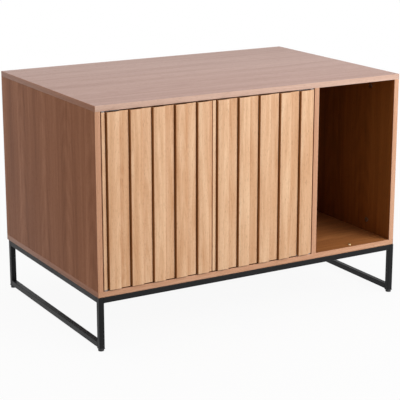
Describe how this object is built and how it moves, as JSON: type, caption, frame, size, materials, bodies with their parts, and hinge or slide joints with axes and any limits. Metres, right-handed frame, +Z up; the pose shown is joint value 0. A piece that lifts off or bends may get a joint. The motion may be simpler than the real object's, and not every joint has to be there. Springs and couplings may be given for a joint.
{
  "type": "cat litter box cabinet",
  "caption": "Low cabinet for a cat litter box: slatted hinged doors, an open side compartment as the way in, and a square-tube sled frame on levelling feet.",
  "frame": {"origin": "on the floor under the middle of the cabinet's bounding box", "axes": "+X along the width towards the open compartment, -Y towards the front, +Z up"},
  "size_m": [0.9512, 0.616, 0.645],
  "materials": {
    "case_print": "walnut print, satin",
    "back_print": "walnut print on thin board",
    "door_board": "dark printed board",
    "slat_print": "light oak print, satin",
    "beech": "raw beech",
    "black_steel": "satin black powder coat",
    "hinge_steel": "plated steel",
    "zinc": "bright zinc",
    "yellow_zinc": "yellow zinc",
    "black_plastic": "moulded black"
  },
  "bodies": {
    "cabinet": {"top_board": "case_print", "bottom_board": "case_print", "left_side_board": "case_print", "right_side_board": "case_print", "divider_board": "case_print", "back_panel": "back_print", "cam_locks": "zinc", "cam_bolts": "zinc", "wood_dowels": "beech", "front_rail": "black_steel", "back_rail": "black_steel", "frame_tabs": "black_steel", "weld_nuts": "yellow_zinc", "frame_screws": "yellow_zinc", "left_latch_housing": "black_plastic", "left_top_tube": "black_steel", "left_bottom_tube": "black_steel", "left_upper_hinge_case_leaf": "hinge_steel", "left_lower_hinge_case_leaf": "hinge_steel", "right_latch_housing": "black_plastic", "right_top_tube": "black_steel", "right_bottom_tube": "black_steel", "right_upper_hinge_case_leaf": "hinge_steel", "right_lower_hinge_case_leaf": "hinge_steel", "left_front_leg": "black_steel", "left_front_end_plug": "black_plastic", "left_back_leg": "black_steel", "left_back_end_plug": "black_plastic", "right_front_leg": "black_steel", "right_front_end_plug": "black_plastic", "right_back_leg": "black_steel", "right_back_end_plug": "black_plastic"},
    "left_door": {"left_door_backing": "door_board", "left_door_raised_slats": "slat_print", "left_door_flat_slats": "slat_print", "left_strike_plate": "hinge_steel", "left_upper_hinge_door_leaf": "hinge_steel", "left_lower_hinge_door_leaf": "hinge_steel"},
    "left_latch_plunger": {"left_latch_plunger": "black_plastic"},
    "right_door": {"right_door_backing": "door_board", "right_door_raised_slats": "slat_print", "right_door_flat_slats": "slat_print", "right_strike_plate": "hinge_steel", "right_upper_hinge_door_leaf": "hinge_steel", "right_lower_hinge_door_leaf": "hinge_steel"},
    "right_latch_plunger": {"right_latch_plunger": "black_plastic"},
    "left_front_foot": {"left_front_foot": "black_plastic"},
    "left_back_foot": {"left_back_foot": "black_plastic"},
    "right_front_foot": {"right_front_foot": "black_plastic"},
    "right_back_foot": {"right_back_foot": "black_plastic"}
  },
  "joints": [
    {"name": "left_door_hinge", "type": "hinge", "parent": "cabinet", "child": "left_door", "pos_m": [-0.4525, -0.2975, 0.395], "axis": [0, 0, -1], "range_deg": [0, 95]},
    {"name": "right_door_hinge", "type": "hinge", "parent": "cabinet", "child": "right_door", "pos_m": [0.1795, -0.2975, 0.395], "axis": [0, 0, 1], "range_deg": [0, 95]},
    {"name": "left_latch_push", "type": "slide", "parent": "cabinet", "child": "left_latch_plunger", "axis": [0, 1, 0], "range_m": [0, 0.003], "stiffness_N_per_m": 300, "springref_m": -0.01},
    {"name": "right_latch_push", "type": "slide", "parent": "cabinet", "child": "right_latch_plunger", "axis": [0, 1, 0], "range_m": [0, 0.003], "stiffness_N_per_m": 300, "springref_m": -0.01},
    {"name": "left_front_foot_height", "type": "slide", "parent": "cabinet", "child": "left_front_foot", "axis": [0, 0, -1], "range_m": [0, 0.008]},
    {"name": "left_back_foot_height", "type": "slide", "parent": "cabinet", "child": "left_back_foot", "axis": [0, 0, -1], "range_m": [0, 0.008]},
    {"name": "right_front_foot_height", "type": "slide", "parent": "cabinet", "child": "right_front_foot", "axis": [0, 0, -1], "range_m": [0, 0.008]},
    {"name": "right_back_foot_height", "type": "slide", "parent": "cabinet", "child": "right_back_foot", "axis": [0, 0, -1], "range_m": [0, 0.008]}
  ]
}
